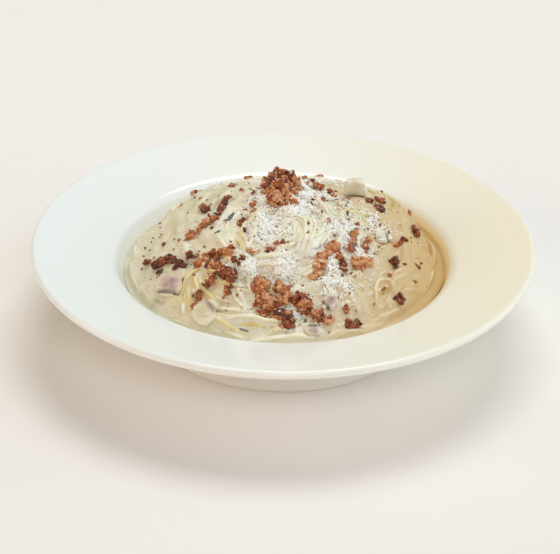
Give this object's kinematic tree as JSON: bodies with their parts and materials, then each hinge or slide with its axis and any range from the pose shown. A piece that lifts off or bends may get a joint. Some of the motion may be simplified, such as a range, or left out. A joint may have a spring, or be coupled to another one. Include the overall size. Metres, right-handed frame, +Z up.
{
  "type": "spaghetti carbonara in a pasta bowl",
  "caption": "Mound of creamy spaghetti with chopped bacon, mushroom slices and grated cheese, served in a wide-rimmed white pasta bowl with a foot ring.",
  "frame": {"origin": "middle of the foot ring, on the surface the bowl stands on", "axes": "+Z up along the bowl's axis; the front of the dish, with the larger bacon pile, faces -Y; +X is to the right"},
  "size_m": [0.28, 0.28, 0.0849],
  "materials": {
    "porcelain": "glossy white glaze",
    "noodles": "pale cream coated noodles, moist",
    "sauce": "opaque grey-cream sauce, satin",
    "cheese": "white grated hard cheese, matte",
    "bacon": "browned chopped bacon, slightly oily",
    "mushroom": "pale sliced mushroom with grey-brown gills, moist"
  },
  "bodies": {
    "root": {"pasta_bowl": "porcelain", "spaghetti_heap": "noodles", "cream_sauce": "sauce", "grated_cheese": "cheese", "bacon_crown": "bacon", "bacon_trail": "bacon", "bacon_left": "bacon", "bacon_centre_left": "bacon", "bacon_front": "bacon", "bacon_right": "bacon", "bacon_far_right": "bacon", "mushroom_slice_left": "mushroom", "mushroom_slice_front_left": "mushroom", "mushroom_slice_front": "mushroom", "mushroom_slice_centre": "mushroom", "mushroom_slice_right": "mushroom", "mushroom_slice_back": "mushroom", "mushroom_chunk_back": "mushroom"}
  },
  "joints": []
}
